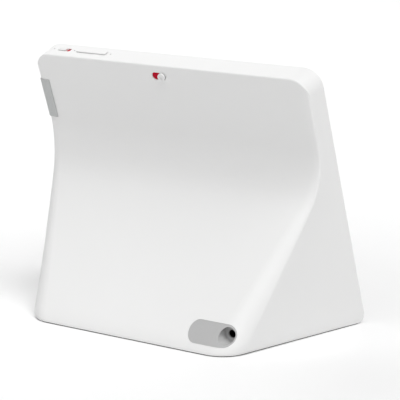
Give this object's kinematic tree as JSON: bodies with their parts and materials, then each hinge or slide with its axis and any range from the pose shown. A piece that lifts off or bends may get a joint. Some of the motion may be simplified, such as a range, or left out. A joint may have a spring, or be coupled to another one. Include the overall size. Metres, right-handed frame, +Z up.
{
  "type": "smart display",
  "caption": "Countertop smart display: leaning flat head on a flared wedge stand, with a sliding camera shutter, mute slider, volume rocker and rear power recess.",
  "frame": {"origin": "on the surface it stands on, under the middle of the object's box", "axes": "+Z up, +Y from the screen side to the rear, +X across, to the left of someone who faces the screen's back"},
  "size_m": [0.18, 0.0993, 0.1465],
  "materials": {
    "white_plastic": "fine matte texture",
    "dark_plastic": "satin moulded",
    "frame_plastic": "satin moulded",
    "grey_plastic": "matte moulded",
    "black_plastic": "satin moulded",
    "red_plastic": "satin",
    "clear_plastic": "polished",
    "connector_plastic": "moulded",
    "screen_glass": "polished, printed border",
    "lens_glass": "coated",
    "panel": "polarizer film",
    "tray_metal": "stamped",
    "aluminium": "brushed",
    "shield_metal": "tinned",
    "steel": "zinc plated",
    "brass": "nickel flash",
    "basket_metal": "black e-coat",
    "magnet": "sintered, coated",
    "cone_paper": "pulp cone",
    "rubber": "matte",
    "foam": "open-cell foam",
    "fabric": "plain-weave acoustic cloth",
    "tag_fabric": "woven tape",
    "circuit_board": "solder mask",
    "chip": "moulded epoxy",
    "flex": "polyimide film"
  },
  "bodies": {
    "housing": {"antennas": "flex", "backlight_tray": "tray_metal", "ballast_plate": "steel", "base_plate": "dark_plastic", "base_screws": "steel", "board_connectors": "connector_plastic", "board_screws": "steel", "button_board": "circuit_board", "camera_barrel": "black_plastic", "camera_board": "circuit_board", "camera_lens": "lens_glass", "cover_glass": "screen_glass", "display_cable": "flex", "display_panel": "panel", "frame_screws": "steel", "front_bezel": "white_plastic", "grille_plate": "dark_plastic", "heat_spreader": "aluminium", "jack_board": "circuit_board", "jack_pin": "brass", "left_speaker_basket": "basket_metal", "left_speaker_magnet": "magnet", "light_sensor": "chip", "main_board": "circuit_board", "memory_chip": "chip", "microphone_boots": "rubber", "microphones": "shield_metal", "mid_frame": "frame_plastic", "mute_switch": "black_plastic", "name_tag": "tag_fabric", "port_liner": "grey_plastic", "power_jack": "black_plastic", "power_stage": "chip", "processor": "chip", "rear_shell": "white_plastic", "right_speaker_basket": "basket_metal", "right_speaker_magnet": "magnet", "rocker_bracket": "black_plastic", "rocker_pin": "steel", "rubber_foot": "rubber", "shield_can": "shield_metal", "shutter_rail": "black_plastic", "speaker_baffle": "dark_plastic", "speaker_box": "dark_plastic", "speaker_fabric": "fabric", "speaker_gasket": "foam", "speaker_surrounds": "rubber", "status_light_pipe": "clear_plastic", "volume_switches": "black_plastic", "wireless_module": "shield_metal"},
    "camera_shutter": {"shutter_knob": "white_plastic", "shutter_flag": "red_plastic", "shutter_blade": "black_plastic"},
    "mute_slider": {"mute_knob": "white_plastic", "mute_flag": "red_plastic"},
    "volume_key": {"volume_rocker": "white_plastic"},
    "left_cone": {"left_speaker_cone": "cone_paper", "left_dust_cap": "cone_paper"},
    "right_cone": {"right_speaker_cone": "cone_paper", "right_dust_cap": "cone_paper"}
  },
  "joints": [
    {"name": "shutter_slide", "type": "slide", "parent": "housing", "child": "camera_shutter", "axis": [1, 0, 0], "range_m": [0, 0.0044]},
    {"name": "mute_slide", "type": "slide", "parent": "housing", "child": "mute_slider", "axis": [-1, 0, 0], "range_m": [0, 0.0024]},
    {"name": "volume_rock", "type": "hinge", "parent": "housing", "child": "volume_key", "pos_m": [0.053, 0.00525, 0.14133], "axis": [0, 0.9426, -0.3338], "range_deg": [-2, 2], "stiffness_Nm_per_rad": 0.6},
    {"name": "left_cone_travel", "type": "slide", "parent": "housing", "child": "left_cone", "axis": [0, 0.9426, -0.3338], "range_m": [-0.0008, 0.0008], "stiffness_N_per_m": 900},
    {"name": "right_cone_travel", "type": "slide", "parent": "housing", "child": "right_cone", "axis": [0, 0.9426, -0.3338], "range_m": [-0.0008, 0.0008], "stiffness_N_per_m": 900}
  ]
}
